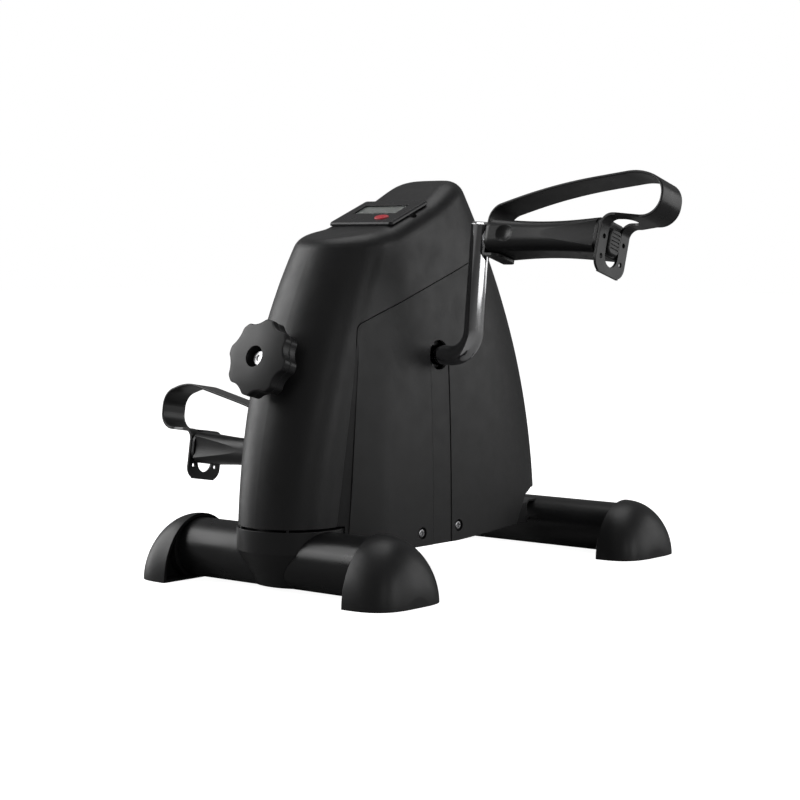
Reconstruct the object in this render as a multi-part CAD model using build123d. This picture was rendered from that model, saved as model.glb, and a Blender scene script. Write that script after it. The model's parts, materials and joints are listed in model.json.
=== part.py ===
from build123d import *
import math
import os

# Pedal exerciser: two floor bars, a steel frame inside a moulded housing,
# a one-piece bent crank with a band-braked drum, a tension knob, a small
# display and two strapped pedals.
# Frame: X to the right, Y to the rear (the knob faces -Y), Z up.
# Origin on the floor, midway between the bars. Millimetres.

# ---- stance and floor bars ----
STANCE = 344.0                # front bar axis to rear bar axis
FRONT_TUBE_R = 25.0
REAR_TUBE_R = 22.5
TUBE_WALL = 1.5
TUBE_LIFT = 1.5               # underside of each bar above the floor
CAP_RIM_X = 99.3              # inner rim of each foot cap from mid-plane
CAP_HALF_Y = 44.0
FRONT_CAP_LENGTH = 42.0
FRONT_CAP_HEIGHT = 55.0
REAR_CAP_LENGTH = 37.0
REAR_CAP_HEIGHT = 50.0
CAP_WALL = 3.0
CAP_POCKET = 12.0
CAP_GRIP = 13.0               # length of bar held inside a cap
CAP_CLEARANCE = 0.1
SOLE_T = 2.0                  # floor of each cap's pocket
SOLE_TRIM = 1.0               # lofted below the floor, then cut flat

# ---- housing ----
WALL = 2.5
HALF_WIDTH = 57.3             # widest half-width, near the floor
FRONT_Y = -211.0              # foremost point of the column at the floor
REAR_Y = 147.5                # rearmost point of the shell at the floor
TOP_ROUND = 16.0
CREST_Z = 343.0               # ridge of the hood before its edges are rounded
COLUMN_BASE_Z = 54.0
PART_Z = 217.6                # parting line height at the column
PART_Y = -138.0
PART_SLOPE = 18.6             # degrees, rising to the rear
PART_GAP = 0.9
GROOVE_FOOT = 11.0            # groove width at the bottom of the column
GROOVE_DEPTH = 5.0
SKIRT_Z = 29.0                # lower edge of the side covers
TUBE_GAP = 1.6                # side cover above the front bar
SADDLE_R = 46.0
SADDLE_Y = FRONT_Y + 0.5 + SADDLE_R
SADDLE_GAP = 1.9              # saddle below the foot of the column
REAR_NOTCH = ((112.0, 62.0), (96.0, 57.5), (76.5, 33.0), (74.0, 0.0))   # y, z of its lower edge
CONSOLE_Y = -55.4             # middle of the console
CONSOLE_Z = 308.0
CONSOLE_SLOPE = 21.6
CRANK_HOLE_R = 12.6
SLOT_WIDTH = 25.0
SLOT_CLEARANCE = 0.7

# ---- crank ----
CRANK_Y = -38.2
CRANK_Z = 189.4
CRANK_ROD_R = 8.5
CRANK_RADIUS = 97.0
CRANK_ELBOW_X = 88.0
CRANK_BEND = 24.0
CRANK_SPLAY = 4.9             # degrees that each arm leans outwards
CRANK_TIP = 15.0              # arm beyond the pedal spindle
RUNNING_FIT = 0.05

# ---- drum and brake ----
DRUM_R = 45.0
DRUM_WIDTH = 24.0
BAND_T = 1.6
BAND_GAP = 0.3
BAND_WIDTH = 20.0
KNOB_TILT = 17.0              # knob axis above horizontal
KNOB_REACH = 162.4            # band tangent point to the knob face
KNOB_R = 32.0
KNOB_DEPTH = 24.0
KNOB_LOBES = 8
KNOB_PHASE = -10.0
KNOB_GRIP_R = 16.0            # radius of each finger hollow
KNOB_HOLLOW = 3.6             # depth of each finger hollow
KNOB_CROWN = 2.4              # the face domes up by this much
KNOB_EDGE_DROP = 1.2         # dome below the face plane at the rim
KNOB_WELL = 9.0               # depth of the screw head's well
SCREW_R = 4.0

# ---- internal frame ----
RAIL_WIDTH = 40.0
RAIL_HEIGHT = 18.0
RAIL_Z = 36.0
RAIL_WALL = 2.0
UPRIGHT_T = 4.0
POST_SIZE = 25.0
BUSH_R = 12.0
HOUSING_R = 16.0

# ---- display ----
BEZEL_X = 70.0
BEZEL_Y = 53.0
BEZEL_RAISE = 3.0
MODULE_DEPTH = 14.0

# ---- pedals ----
PEDAL_INNER_X = 114.5
PEDAL_LENGTH = 110.0
PEDAL_DEPTH = 44.0
PEDAL_HEIGHT = 29.0
SPINDLE_R = 6.0
PIN_R = 5.0                   # threaded end of the spindle
PIN_SEAT = 5.5                # depth of its blind seat past the rod axis
RIGHT_TILT = 16.5
LEFT_TILT = 9.0
STRAP_WIDTH = 28.0
STRAP_T = 2.2
EYE_WIDTH = 41.0
EYE_SLOT_R = 9.0              # half-width of the long slot in the strap end
EYE_PITCH = 16.0
EYE_DROP = 29.5
NOSE_CLEARANCE = 1.0
FLAP_X = 14.0                 # strap end tucked under the pedal
FLAP_ROUND = 7.0
EYE_X = PEDAL_LENGTH + 5.0

# corners of each strap's middle line in its pedal's own frame, from the inner end outwards
CURL_X = 163.0
RIGHT_LOOP = ((-1.5, 23.2), (58.0, 41.8), (140.0, 53.0), (CURL_X, 43.5), (CURL_X, 15.2))
LEFT_LOOP = ((-1.5, 25.5), (50.0, 41.2), (134.0, 59.6), (CURL_X, 48.5), (CURL_X, 16.0))
LOOP_RADII = (14.0, 480.0, 48.0, 16.5, 15.5)

# ---- derived places ----
FRONT_Y0 = -STANCE / 2
REAR_Y0 = STANCE / 2
FRONT_TUBE_Z = FRONT_TUBE_R + TUBE_LIFT
REAR_TUBE_Z = REAR_TUBE_R + TUBE_LIFT
BAND_R = DRUM_R + BAND_GAP + BAND_T / 2
KAPPA = 0.5523                # Bezier handle of a quarter ellipse

os.makedirs("parts", exist_ok=True)

# ---- parts inside the housing and on it ----
SCREW_PLACES = ((-65.0, 40.0), (-16.0, 42.0))
POCKET_R = 5.2
BOSS_R = 7.5
COVER_SCREW_R = 2.0
POST_LEAN = 6.5
POST_LENGTH = 172.0
KNOB_BACK = KNOB_REACH - KNOB_DEPTH
BOSS_DEPTH = 10.0
ANCHOR_R = 4.0
HOOK_START = 22.0
HOOK_LENGTH = 12.0
SPRING_START = HOOK_START + HOOK_LENGTH + 0.4
SPRING_LENGTH = 26.0
NUT_START = SPRING_START + SPRING_LENGTH
NUT_LENGTH = 18.0
NUT_TRAVEL = 10.0
WINDOW = (-25.4, 22.6, -4.2, 15.3)     # x0, x1, y0, y1 on the console
BUTTON_AT = (15.2, -14.0)
BUTTON_RX = 7.4
BUTTON_RY = 4.6
BUTTON_TRAVEL = 1.2


# ------------------------------------------------------------ helpers
def rod_x(radius, x0, x1, y=0.0, z=0.0):
    return Pos((x0 + x1) / 2, y, z) * Rot(0, 90, 0) * Cylinder(radius, abs(x1 - x0))


def tube_x(outer, inner, x0, x1, y=0.0, z=0.0):
    return rod_x(outer, x0, x1, y, z) - rod_x(inner, x0 - 1, x1 + 1, y, z)


def block(x0, x1, y0, y1, z0, z1):
    return Pos((x0 + x1) / 2, (y0 + y1) / 2, (z0 + z1) / 2) * Box(x1 - x0, y1 - y0, z1 - z0)


def side_prism(points, half_width):
    return extrude(Plane.YZ * Polygon(*points, align=None), amount=half_width, both=True)


def mirrored(shape):
    return mirror(shape, about=Plane.YZ)


def save(shape, name):
    export_step(shape, "parts/" + name + ".step")


def parting_z(y):
    return PART_Z + math.tan(math.radians(PART_SLOPE)) * (y - PART_Y)


# ------------------------------------------------------------ floor bars
def floor_tube(radius, y, z):
    end = CAP_RIM_X + CAP_GRIP
    return tube_x(radius, radius - TUBE_WALL, -end, end, y, z)


def arch(x, half_y, height, y0, base=0.0):
    right = Bezier(
        (x, y0 + half_y, base),
        (x, y0 + half_y, base + KAPPA * height),
        (x, y0 + KAPPA * half_y, base + height),
        (x, y0, base + height),
    )
    left = Bezier(
        (x, y0, base + height),
        (x, y0 - KAPPA * half_y, base + height),
        (x, y0 - half_y, base + KAPPA * height),
        (x, y0 - half_y, base),
    )
    return Face(Wire([right, left, Line(left @ 1, right @ 0)]))


def dome(length, height, y0):
    sections = []
    for s in (0.0, 0.3, 0.55, 0.75, 0.9, 0.97, 0.994):
        plan = (1 - s ** 3.2) ** (1 / 3.2)
        rise = (1 - s ** 2.3) ** (1 / 2.3)
        x = CAP_RIM_X + s * length
        sections.append(arch(x, CAP_HALF_Y * plan, height * rise + SOLE_TRIM, y0, -SOLE_TRIM))
    below = block(CAP_RIM_X - 5, CAP_RIM_X + length + 5, y0 - 60, y0 + 60, -20, 0)
    return loft(sections) - below


def foot_cap(length, height, tube_r, tube_z, y0):
    cap = dome(length, height, y0)
    pocket = extrude(
        arch(CAP_RIM_X - 1, CAP_HALF_Y - CAP_WALL, height - CAP_WALL - SOLE_T, y0, SOLE_T),
        amount=CAP_POCKET + 1,
        dir=(1, 0, 0),
    )
    collar = rod_x(tube_r + CAP_WALL, CAP_RIM_X + 3, CAP_RIM_X + CAP_POCKET + 1, y0, tube_z)
    cap = cap - (pocket - collar)
    bore_end = CAP_RIM_X + CAP_GRIP + CAP_CLEARANCE
    return cap - rod_x(tube_r + CAP_CLEARANCE, CAP_RIM_X - 1, bore_end, y0, tube_z)


# ------------------------------------------------------------ housing envelope
def front_y(z):
    return FRONT_Y + 72.5 * (z / 285.0) ** 2.2


def rear_y(z):
    return REAR_Y - 114.0 * (z / 332.0) ** 2.2


def half_width(z):
    return HALF_WIDTH - 19.0 * (z / 335.0) ** 2.8


def column_half(z):
    return half_width(z) - 1.5 - 15.0 * max(0.0, 1 - z / 235.0)


def flank_start(z):
    return front_y(z) + 44.0


def flank_end(z):
    return flank_start(z) + 62.0 - 0.1 * z


def flank_x(y, z):
    """Half-width of the housing where the column flares into the sides."""
    f = min(1.0, max(0.0, (y - flank_start(z)) / (flank_end(z) - flank_start(z))))
    return column_half(z) + (half_width(z) - column_half(z)) * f * f * (3 - 2 * f)


def plan_section(z, inset):
    w = half_width(z) - inset
    c = column_half(z) - inset
    yf = front_y(z) + inset
    y1 = flank_start(z)
    y2 = flank_end(z)
    y3 = -20.0 + 8.0 * z / 350.0
    yr = rear_y(z) - inset
    lead = y1 - KAPPA * (y1 - yf)
    bend = 0.4 * (y2 - y1)
    halves = []
    for s in (1, -1):
        front = Bezier((0, yf, z), (s * KAPPA * c, yf, z), (s * c, lead, z), (s * c, y1, z))
        flank = Bezier((s * c, y1, z), (s * c, y1 + bend, z), (s * w, y2 - bend, z), (s * w, y2, z))
        flat = Line((s * w, y2, z), (s * w, y3, z))
        back = Bezier((s * w, y3, z), (s * w, y3 + 0.62 * (yr - y3), z), (s * 0.66 * w, yr, z), (0, yr, z))
        halves.append([front, flank, flat, back])
    return Face(Wire(halves[0] + halves[1]))


def console_line(y, inset):
    return CONSOLE_Z - inset + math.tan(math.radians(CONSOLE_SLOPE)) * (y - CONSOLE_Y)


def top_profile(inset):
    crest_z = CREST_Z - inset
    brow = (-26.0, console_line(-26.0, inset))
    foot = (-84.0, console_line(-84.0, inset))
    line = FilletPolyline(
        (-260, foot[1] - 0.19 * (foot[0] + 260)),
        foot,
        brow,
        (14.0, crest_z - 0.6),
        (90.0, crest_z - 19.0),
        radius=[70, 40, 55],
    )
    under = Polyline((90.0, crest_z - 19.0), (90.0, -20), (200, -20), (200, -30), (-260, -30), line @ 0)
    return line, under


ENVELOPES = {}


def envelope(inset):
    if inset not in ENVELOPES:
        ENVELOPES[inset] = build_envelope(inset)
    return ENVELOPES[inset]


def build_envelope(inset):
    levels = (10, 80, 150, 210, 265, 310, 350)
    body = loft([plan_section(z, inset) for z in levels])
    line, under = top_profile(inset)
    below_top = extrude(Plane.YZ * make_face([line, under]), amount=80, both=True)
    rear_low = side_prism([(80, -30), (200, -30), (200, 300), (80, 300)], 80)
    body = body & (below_top + rear_low)
    rim = [e for e in body.edges() if e.center().Z > 262 and abs(e.center().X) > 2]
    return fillet(rim, TOP_ROUND - inset)


def shell(outer, inner):
    return envelope(outer) - envelope(inner)


# ------------------------------------------------------------ axes shared by several pieces
KNOB_OUT = Vector(0, -math.cos(math.radians(KNOB_TILT)), math.sin(math.radians(KNOB_TILT)))
KNOB_UP = Vector(0, math.sin(math.radians(KNOB_TILT)), math.cos(math.radians(KNOB_TILT)))
DRUM_CENTRE = Vector(0, CRANK_Y, CRANK_Z)
BAND_TANGENT = DRUM_CENTRE - KNOB_UP * BAND_R
# local z runs outwards along the knob axis, 0 where the band leaves the drum
SCREW_AXIS = Plane(origin=BAND_TANGENT, x_dir=(1, 0, 0), z_dir=KNOB_OUT)
CONSOLE = Plane(
    origin=(0, CONSOLE_Y, CONSOLE_Z),
    x_dir=(1, 0, 0),
    z_dir=(0, -math.sin(math.radians(CONSOLE_SLOPE)), math.cos(math.radians(CONSOLE_SLOPE))),
)


def along_screw(radius, t0, t1):
    return SCREW_AXIS * (Pos(0, 0, (t0 + t1) / 2) * Cylinder(radius, abs(t1 - t0)))


def console_block(x0, x1, y0, y1, z0, z1):
    return CONSOLE * block(x0, x1, y0, y1, z0, z1)


# ------------------------------------------------------------ housing pieces
POST_FOOT = Vector(0, FRONT_Y0, FRONT_TUBE_Z)
POST_AXIS = Plane(
    origin=POST_FOOT,
    x_dir=(1, 0, 0),
    z_dir=(0, math.sin(math.radians(POST_LEAN)), math.cos(math.radians(POST_LEAN))),
)


def top_cover():
    skin = shell(0, WALL)
    edge_y = groove_column_y(COLUMN_BASE_Z)
    region = Polyline(
        (-260, COLUMN_BASE_Z),
        (-260, 400),
        (160, 400),
        (160, parting_z(160)),
        (PART_Y, parting_z(PART_Y)),
        (edge_y, COLUMN_BASE_Z),
        close=True,
    )
    keep = Plane.YZ * fillet(make_face(region).vertices().sort_by_distance((PART_Y, PART_Z, 0))[0], 9)
    cover = skin & extrude(keep, amount=90, both=True)
    boss = SCREW_AXIS * (Pos(0, 0, KNOB_BACK - BOSS_DEPTH / 2) * Cylinder(9, BOSS_DEPTH))
    cover = cover + (boss & envelope(WALL / 2))
    cover = cover - along_screw(SCREW_R + 0.4, KNOB_BACK - 40, KNOB_REACH)
    flat = along_screw(14, KNOB_BACK - 1.5, KNOB_REACH)
    cover = cover - flat
    well = console_block(-31.4, 31.4, -23.4, 23.4, -40, 30)
    notch = CONSOLE * (Pos(BEZEL_X / 2 + 1.0, 2.4, 0) * Sphere(4.2))
    return cover - well - notch


def groove_column_y(z):
    """Rear edge of the column beside the groove."""
    return PART_Y - 2 * GROOVE_FOOT * (PART_Z - z) / (PART_Z - COLUMN_BASE_Z)


def groove_side_y(z):
    """Front edge of the flat side panel beside the groove."""
    return PART_Y + PART_GAP - GROOVE_FOOT * (PART_Z - z) / (PART_Z - COLUMN_BASE_Z)


def side_region(gap_x):
    front_top = (groove_column_y(PART_Z) + 1.2, parting_z(PART_Y + 1.2) - PART_GAP)
    outline = Polyline(
        (160, parting_z(160) - PART_GAP),
        front_top,
        (groove_column_y(COLUMN_BASE_Z) + 1.2, COLUMN_BASE_Z),
        (groove_column_y(COLUMN_BASE_Z) + 1.2, SKIRT_Z),
        (CRANK_Y + 20, SKIRT_Z),
        (60, SKIRT_Z + 4),
        (160, SKIRT_Z + 4),
        close=True,
    )
    face = make_face(outline)
    corner = face.vertices().sort_by_distance((front_top[0], front_top[1], 0))[0]
    face = Plane.YZ * fillet(corner, 8)
    half = extrude(face, amount=90, dir=(1, 0, 0)) & block(gap_x, 90, -260, 200, -20, 400)
    half = half - rod_x(FRONT_TUBE_R + TUBE_GAP, -90, 90, FRONT_Y0, FRONT_TUBE_Z)
    half = half - Pos(0, SADDLE_Y, 0) * Cylinder(SADDLE_R + 0.6, 2 * COLUMN_BASE_Z - 1)
    notch = side_prism([(200, 0), (200, 62), *REAR_NOTCH], 90)
    return half - notch


def ramp_section(z):
    y_low = groove_column_y(z) - 1
    y_high = groove_side_y(z)
    x_high = flank_x(y_high, z) - 0.4
    x_low = flank_x(y_low, z) - GROOVE_DEPTH * (y_high - y_low) / (GROOVE_FOOT + 1)
    rise = (x_high - x_low) / (y_high - y_low)
    return Polyline(
        (x_low - rise * 6, y_low - 6, z),
        (x_high + rise * 1.5, y_high + 1.5, z),
        (x_high + 25, y_high + 1.5, z),
        (x_high + 25, y_low - 6, z),
        close=True,
    )


def groove_ramp():
    """Cutter that slopes the front edge of a side cover down into the groove."""
    ends = [make_face(ramp_section(z)) for z in (SKIRT_Z - 6, PART_Z)]
    return loft(ends, ruled=True)


def groove_flange():
    """Thicker front margin of a side cover, so the sloped edge keeps its wall."""
    y_top = groove_side_y(PART_Z)
    y_foot = groove_side_y(COLUMN_BASE_Z)
    outline = Polyline(
        (y_top + 5, PART_Z - 5),
        (y_foot + 5, SKIRT_Z),
        (y_foot - 30, SKIRT_Z),
        (y_foot - 30, PART_Z - 5),
        close=True,
    )
    margin = extrude(Plane.YZ * make_face(outline), amount=90, dir=(1, 0, 0))
    return shell(WALL, WALL + GROOVE_DEPTH - 0.5) & margin


def side_cover_right():
    region = side_region(0.15)
    skin = shell(0.5, WALL + 0.5) & region
    cover = (skin + (groove_flange() & region)) - groove_ramp()
    for y, z in SCREW_PLACES:
        boss = rod_x(BOSS_R, 45, 60, y, z) & envelope(0.5)
        cover = cover + boss
        cover = cover - rod_x(POCKET_R, 54.2, 62, y, z)
        cover = cover - rod_x(COVER_SCREW_R + 0.2, 40, 62, y, z)
    cover = cover - rod_x(CRANK_HOLE_R, 30, 62, CRANK_Y, CRANK_Z)
    slot = block(30, 62, CRANK_Y - SLOT_WIDTH / 2, CRANK_Y + SLOT_WIDTH / 2, 0, CRANK_Z)
    return cover - slot


def slot_cover_right():
    half = SLOT_WIDTH / 2 - SLOT_CLEARANCE
    strip = shell(1.0, WALL + 1.0) & block(30, 62, CRANK_Y - half, CRANK_Y + half, SKIRT_Z, CRANK_Z)
    return strip - rod_x(CRANK_HOLE_R, 30, 62, CRANK_Y, CRANK_Z)


def pan_screw(x, y, z):
    head = rod_x(3.6, 54.2, 56.2, y, z)
    head = fillet(head.edges().sort_by(Axis.X)[-1], 1.0)
    cross = block(55.2, 57, y - 2.2, y + 2.2, z - 0.5, z + 0.5)
    cross = cross + block(55.2, 57, y - 0.5, y + 0.5, z - 2.2, z + 2.2)
    return head + rod_x(COVER_SCREW_R, x, 54.6, y, z) - cross


def cover_screws():
    screws = []
    for y, z in SCREW_PLACES:
        right = pan_screw(36.0, y, z)
        screws.append(right)
        screws.append(mirrored(right))
    return Compound(children=screws)


def front_saddle():
    top_z = COLUMN_BASE_Z - SADDLE_GAP
    upper = Pos(0, SADDLE_Y, (34 + top_z) / 2) * Cylinder(SADDLE_R, top_z - 34)
    top_ring = Plane.XY.offset(34) * Pos(0, SADDLE_Y) * Circle(SADDLE_R)
    low_ring = Plane.XY.offset(4) * Pos(0, SADDLE_Y + 20) * Circle(SADDLE_R)
    body = upper + loft([top_ring, low_ring])
    step_z = RAIL_Z + RAIL_HEIGHT / 2 + 0.5
    outline = [(-260, 4), (FRONT_Y0, 4), (FRONT_Y0, step_z), (-141, step_z), (-141, 70), (-260, 70)]
    keep = side_prism(outline, 60)
    body = body & keep
    body = body - rod_x(FRONT_TUBE_R, -80, 80, FRONT_Y0, FRONT_TUBE_Z)
    slot = POST_AXIS * (Pos(0, 0, 30) * Box(POST_SIZE + 1, POST_SIZE + 1, 60))
    body = body - slot
    rim = Pos(0, SADDLE_Y, top_z) * (Cylinder(SADDLE_R - 0.8, 2 * SADDLE_GAP) - Cylinder(SADDLE_R - 4, 10))
    for angle in (-52, -116):
        post = Rot(0, 0, angle) * block(SADDLE_R - 6, SADDLE_R + 4, -1.0, 1.0, 0, SADDLE_GAP - 0.1)
        body = body + ((Pos(0, SADDLE_Y, top_z) * post) & rim)
    return body


# ------------------------------------------------------------ steel frame
def frame_rail():
    y0 = FRONT_Y0
    y1 = REAR_Y0 - 6
    z0 = RAIL_Z - RAIL_HEIGHT / 2
    z1 = RAIL_Z + RAIL_HEIGHT / 2
    w = RAIL_WIDTH / 2
    inner = w - RAIL_WALL
    bore = block(-inner, inner, y0 - 1, y1 + 1, z0 + RAIL_WALL, z1 - RAIL_WALL)
    rail = block(-w, w, y0, y1, z0, z1) - bore
    rail = rail - rod_x(FRONT_TUBE_R, -80, 80, FRONT_Y0, FRONT_TUBE_Z)
    rail = rail - block(-80, 80, FRONT_Y0 - 40, FRONT_Y0 + 4, 0, 80)
    taper = [(w + 1, y1 - 42), (w, y1 - 36), (w / 3, y1 - 14), (w / 3, y1 + 2), (w + 1, y1 + 2)]
    neck = Polyline(*taper, close=True)
    waste = extrude(make_face(neck), amount=80)
    rail = rail - waste - mirrored(waste)
    return rail - rod_x(REAR_TUBE_R, -80, 80, REAR_Y0, REAR_TUBE_Z)


def frame_upright():
    foot = RAIL_Z - RAIL_HEIGHT / 2 + 2
    outline = Polyline(
        (CRANK_Y - 34, foot),
        (CRANK_Y - 34, foot + 40),
        (CRANK_Y - 27, CRANK_Z - 10),
        (CRANK_Y - 38, CRANK_Z + 42),
        (CRANK_Y - 24, CRANK_Z + 62),
        (CRANK_Y + 8, CRANK_Z + 62),
        (CRANK_Y + 27, CRANK_Z + 20),
        (CRANK_Y + 27, CRANK_Z - 10),
        (CRANK_Y + 40, foot),
        close=True,
    )
    face = make_face(outline)
    face = fillet(face.vertices(), 6)
    plate = Pos(RAIL_WIDTH / 2, 0, 0) * extrude(Plane.YZ * face, amount=UPRIGHT_T, dir=(1, 0, 0))
    plate = plate - rod_x(HOUSING_R, 10, 40, CRANK_Y, CRANK_Z)
    window = Plane.YZ * Pos(CRANK_Y + 2, CRANK_Z - 80) * RectangleRounded(34, 70, 10)
    plate = plate - extrude(window, amount=60)
    anchor = CRANK_ANCHOR
    return plate - rod_x(ANCHOR_R, 10, 40, anchor.Y, anchor.Z)


CRANK_ANCHOR = DRUM_CENTRE + KNOB_UP * BAND_R + KNOB_OUT * 30


def bearing_housing():
    x0 = RAIL_WIDTH / 2 - 1.5
    barrel = tube_x(HOUSING_R, BUSH_R, x0, x0 + 19, CRANK_Y, CRANK_Z)
    flange = tube_x(HOUSING_R + 5, BUSH_R, x0 + 5.5, x0 + 8.5, CRANK_Y, CRANK_Z)
    return barrel + flange


def crank_bushing():
    x0 = RAIL_WIDTH / 2 - 1.5
    sleeve = tube_x(BUSH_R, CRANK_ROD_R + RUNNING_FIT, x0, x0 + 21, CRANK_Y, CRANK_Z)
    lip = tube_x(BUSH_R + 3, CRANK_ROD_R + RUNNING_FIT, x0 + 19, x0 + 21, CRANK_Y, CRANK_Z)
    return sleeve + lip


def cover_bracket():
    x0 = RAIL_WIDTH / 2 + UPRIGHT_T
    shelf = block(x0, 44, CRANK_Y - 34, CRANK_Y + 30, 33, 35.5)
    face = block(41.5, 44, CRANK_Y - 34, CRANK_Y + 30, 33, 49)
    tab = shelf + face
    for y, z in SCREW_PLACES:
        tab = tab - rod_x(COVER_SCREW_R + 0.1, 30, 50, y, z)
    return tab


def front_post():
    bar = POST_AXIS * (Pos(0, 0, POST_LENGTH / 2) * Box(POST_SIZE, POST_SIZE, POST_LENGTH))
    core = POST_AXIS * (Pos(0, 0, POST_LENGTH / 2) * Box(POST_SIZE - 4, POST_SIZE - 4, POST_LENGTH + 2))
    post = bar - core
    post = post - rod_x(FRONT_TUBE_R, -80, 80, FRONT_Y0, FRONT_TUBE_Z)
    return post - along_screw(SCREW_R + 0.4, 80, 160)


# ------------------------------------------------------------ crank and drum
def crank():
    lean = math.tan(math.radians(CRANK_SPLAY))
    top = CRANK_RADIUS + CRANK_TIP
    tip = CRANK_ELBOW_X + lean * top
    path = FilletPolyline(
        (-tip, 0, -top),
        (-CRANK_ELBOW_X, 0, 0),
        (CRANK_ELBOW_X, 0, 0),
        (tip, 0, top),
        radius=CRANK_BEND,
    )
    start = Plane(origin=path @ 0, z_dir=path % 0)
    rod = sweep(start * Circle(CRANK_ROD_R), path=path)
    rod = Pos(0, CRANK_Y, CRANK_Z) * rod
    ends = rod.faces().filter_by(GeomType.PLANE)
    rod = chamfer(ends.edges(), 1.5)
    eye_x = SPINDLE_EYE
    rod = rod - rod_x(PIN_R, eye_x - PIN_SEAT, eye_x + 20, CRANK_Y, CRANK_Z + CRANK_RADIUS)
    return rod - rod_x(PIN_R, -eye_x - 20, -eye_x + PIN_SEAT, CRANK_Y, CRANK_Z - CRANK_RADIUS)


SPINDLE_EYE = CRANK_ELBOW_X + math.tan(math.radians(CRANK_SPLAY)) * CRANK_RADIUS


def crank_collars():
    x0 = RAIL_WIDTH / 2 - 1.5 + 21.3
    ring = tube_x(13.0, CRANK_ROD_R, x0, x0 + 5, CRANK_Y, CRANK_Z)
    ring = ring - block(x0 - 1, x0 + 6, CRANK_Y - 1, CRANK_Y + 1, CRANK_Z, CRANK_Z + 20)
    return Compound(children=[ring, mirrored(ring)])


def drum():
    w = DRUM_WIDTH / 2
    hub = RAIL_WIDTH / 2 - 2.0
    profile = Polyline(
        (CRANK_ROD_R, -hub),
        (15, -hub),
        (15, -4),
        (DRUM_R - 6, -4),
        (DRUM_R - 6, -w),
        (DRUM_R, -w),
        (DRUM_R, w),
        (DRUM_R - 6, w),
        (DRUM_R - 6, 4),
        (15, 4),
        (15, hub),
        (CRANK_ROD_R, hub),
        close=True,
    )
    face = make_face(profile)
    wheel = revolve(face, Axis.Y)
    wheel = Rot(0, 0, -90) * wheel
    wheel = Pos(0, CRANK_Y, CRANK_Z) * wheel
    for i in range(5):
        a = math.radians(72 * i + 54)
        y = CRANK_Y + 27 * math.cos(a)
        z = CRANK_Z + 27 * math.sin(a)
        wheel = wheel - rod_x(7, -20, 20, y, z)
    magnet_seat = rod_x(3.0, DRUM_WIDTH / 2 - 3.0, 20, CRANK_Y, CRANK_Z + DRUM_R - 3.2)
    return wheel - magnet_seat


def sensor_magnet():
    return rod_x(2.6, DRUM_WIDTH / 2 - 3.0, DRUM_WIDTH / 2 + 0.8, CRANK_Y, CRANK_Z + DRUM_R - 3.2)


def reed_sensor():
    z = CRANK_Z + DRUM_R - 3.2
    x1 = RAIL_WIDTH / 2
    body = block(DRUM_WIDTH / 2 + 3, x1, CRANK_Y - 5, CRANK_Y + 5, z - 3.5, z + 3.5)
    return fillet(body.edges().filter_by(Axis.X), 1.5)


# local plane of the band: x outwards to the knob, y up, seen from the left
BAND_PLANE = Plane(origin=DRUM_CENTRE, x_dir=KNOB_OUT, z_dir=(-1, 0, 0))


def band_outline(radius):
    return [(HOOK_START + 8, -radius), (0, -radius), (-radius, 0), (0, radius), (30, radius)]


def brake_band():
    outer = BAND_R + BAND_T / 2
    inner = BAND_R - BAND_T / 2
    a = band_outline(outer)
    b = band_outline(inner)
    path = Wire([
        Line(a[0], a[1]),
        ThreePointArc(a[1], a[2], a[3]),
        Line(a[3], a[4]),
        Line(a[4], b[4]),
        Line(b[4], b[3]),
        ThreePointArc(b[3], b[2], b[1]),
        Line(b[1], b[0]),
        Line(b[0], a[0]),
    ])
    band = extrude(Face(path), amount=BAND_WIDTH / 2, both=True)
    eye = Pos(30, BAND_R, 0) * Cylinder(ANCHOR_R + 2.4, BAND_WIDTH)
    band = band + eye
    band = band - Pos(30, BAND_R, 0) * Cylinder(ANCHOR_R, BAND_WIDTH + 2)
    return BAND_PLANE * band


def band_anchor():
    p = CRANK_ANCHOR
    x1 = RAIL_WIDTH / 2 + UPRIGHT_T
    pin = rod_x(ANCHOR_R, -x1 - 6, x1 + 6, p.Y, p.Z)
    head = extrude(Plane.YZ * Pos(p.Y, p.Z) * RegularPolygon(7, 6), amount=5, dir=(1, 0, 0))
    return pin + Pos(x1 + 0.2, 0, 0) * head + Pos(-x1 - 5.2, 0, 0) * head


def band_hook():
    start = HOOK_START
    plate = SCREW_AXIS * block(-8, 8, -BAND_T / 2 - 2.6, BAND_T / 2 + 2.6, start, start + HOOK_LENGTH)
    slit = SCREW_AXIS * block(-9, 9, -BAND_T / 2, BAND_T / 2, start - 1, start + 8)
    narrow = BAND_WIDTH / 2
    clip = SCREW_AXIS * block(-narrow, narrow, -BAND_T / 2 - 2.6, BAND_T / 2 + 2.6, start, start + 8)
    band_seat = SCREW_AXIS * block(-11, 11, -BAND_T / 2, BAND_T / 2, start - 1, start + 8)
    return (plate + clip) - slit - band_seat


def tension_spring():
    coil_r = 5.4
    wire_r = 0.8
    turns = 9
    height = SPRING_LENGTH - 2 * wire_r - 0.4
    line = Helix(pitch=height / turns, height=height, radius=coil_r)
    start = Plane(origin=line @ 0, z_dir=line % 0)
    coil = sweep(start * Circle(wire_r), path=line)
    return SCREW_AXIS * (Pos(0, 0, SPRING_START + wire_r + 0.2) * coil)


def tension_nut():
    body = SCREW_AXIS * block(-9, 9, -8, 8, NUT_START, NUT_START + NUT_LENGTH)
    body = chamfer(body.edges(), 1.0)
    return body - along_screw(SCREW_R + RUNNING_FIT, NUT_START - 1, NUT_START + NUT_LENGTH + 1)


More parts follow.
